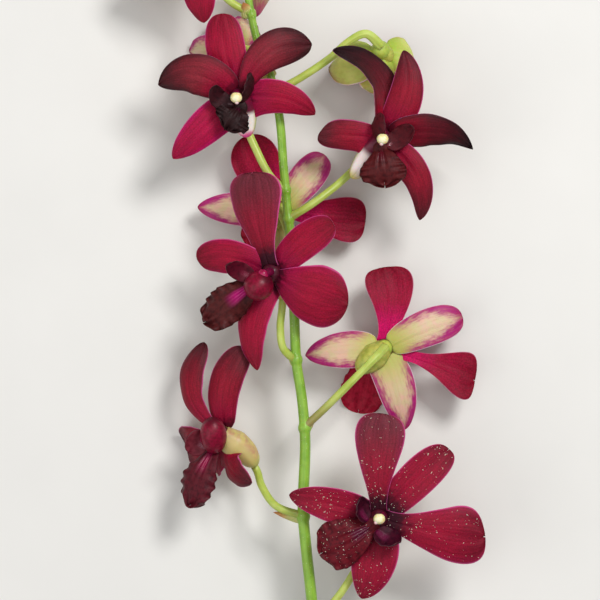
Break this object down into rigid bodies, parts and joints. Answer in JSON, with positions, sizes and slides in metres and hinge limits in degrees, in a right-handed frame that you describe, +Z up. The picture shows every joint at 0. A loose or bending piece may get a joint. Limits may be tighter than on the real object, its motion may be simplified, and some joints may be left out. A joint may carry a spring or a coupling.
{
  "type": "dendrobium orchid stem",
  "caption": "Cut orchid spray lying down: a slender jointed green stem with dark crimson blooms on curved stalks and small buds at its end.",
  "frame": {"origin": "middle of the bottom of the part's bounding box, on the surface it lies on", "axes": "+Y along the stem from the cut end to the buds, +Z up from the surface, +X to the right seen from above with the buds away"},
  "size_m": [0.1244, 0.3502, 0.041],
  "materials": {
    "green_stem": "smooth waxy green with pale specks",
    "crimson_tepal": "velvety dark crimson with fine veins",
    "pale_back": "waxy cream green",
    "dark_lip": "satin blackish maroon, ruffled",
    "cream_column": "satin cream",
    "flushed_bud": "waxy green flushed with maroon"
  },
  "bodies": {
    "root": {"flower_stem": "green_stem", "bloom_1_tepals": "crimson_tepal", "bloom_1_lip": "dark_lip", "bloom_1_column": "cream_column", "bloom_2_tepals": "crimson_tepal", "bloom_2_lip": "dark_lip", "bloom_2_column": "cream_column", "bloom_3_tepals": "crimson_tepal", "bloom_3_lip": "dark_lip", "bloom_3_column": "cream_column", "bloom_4_tepals": "crimson_tepal", "bloom_4_lip": "dark_lip", "bloom_4_column": "cream_column", "bloom_5_tepals": "crimson_tepal", "bloom_5_lip": "dark_lip", "bloom_5_column": "cream_column", "bloom_6_tepals": "crimson_tepal", "bloom_6_lip": "dark_lip", "bloom_6_column": "cream_column", "bloom_7_tepals": "crimson_tepal", "bloom_7_lip": "dark_lip", "bloom_7_column": "cream_column", "bloom_8_tepals": "crimson_tepal", "bloom_8_lip": "dark_lip", "bloom_8_column": "cream_column", "bloom_9_tepals": "crimson_tepal", "bloom_9_lip": "dark_lip", "bloom_9_column": "cream_column", "bloom_10_tepals": "crimson_tepal", "bloom_10_lip": "dark_lip", "bloom_10_column": "cream_column", "bud_1": "flushed_bud", "bud_2": "flushed_bud", "bud_3": "flushed_bud", "bud_4": "flushed_bud", "bud_5": "flushed_bud"}
  },
  "joints": []
}
